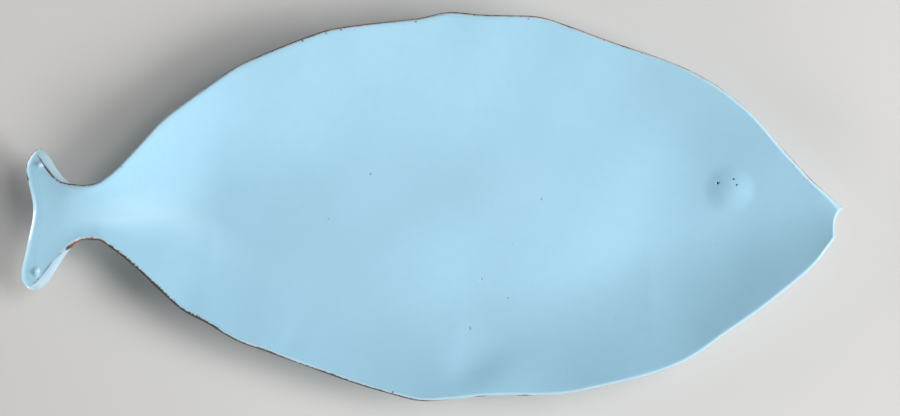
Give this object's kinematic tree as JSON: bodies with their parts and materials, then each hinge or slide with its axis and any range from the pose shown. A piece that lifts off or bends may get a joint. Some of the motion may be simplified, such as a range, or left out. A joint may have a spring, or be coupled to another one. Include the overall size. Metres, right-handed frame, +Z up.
{
  "type": "fish-shaped serving platter",
  "caption": "Shallow fish-shaped serving platter of pale blue glazed earthenware, with a forked tail, a raised eye, a notched mouth and an oval foot ring.",
  "frame": {"origin": "on the table under the middle of the platter's plan box", "axes": "+X from the tail to the mouth, +Y to the back of the fish, +Z up"},
  "size_m": [0.5222, 0.2462, 0.0403],
  "materials": {
    "bare_clay": "matt fired terracotta clay, bare on the worn rim and on the foot",
    "blue_glaze": "smooth glossy opaque pale blue glaze with pinholes, breaking to brown at the rim"
  },
  "bodies": {
    "root": {"dish_body": "bare_clay", "tail_fin": "bare_clay", "eye_pellet": "bare_clay", "foot_ring": "bare_clay", "upper_glaze": "blue_glaze", "under_glaze": "blue_glaze"}
  },
  "joints": []
}
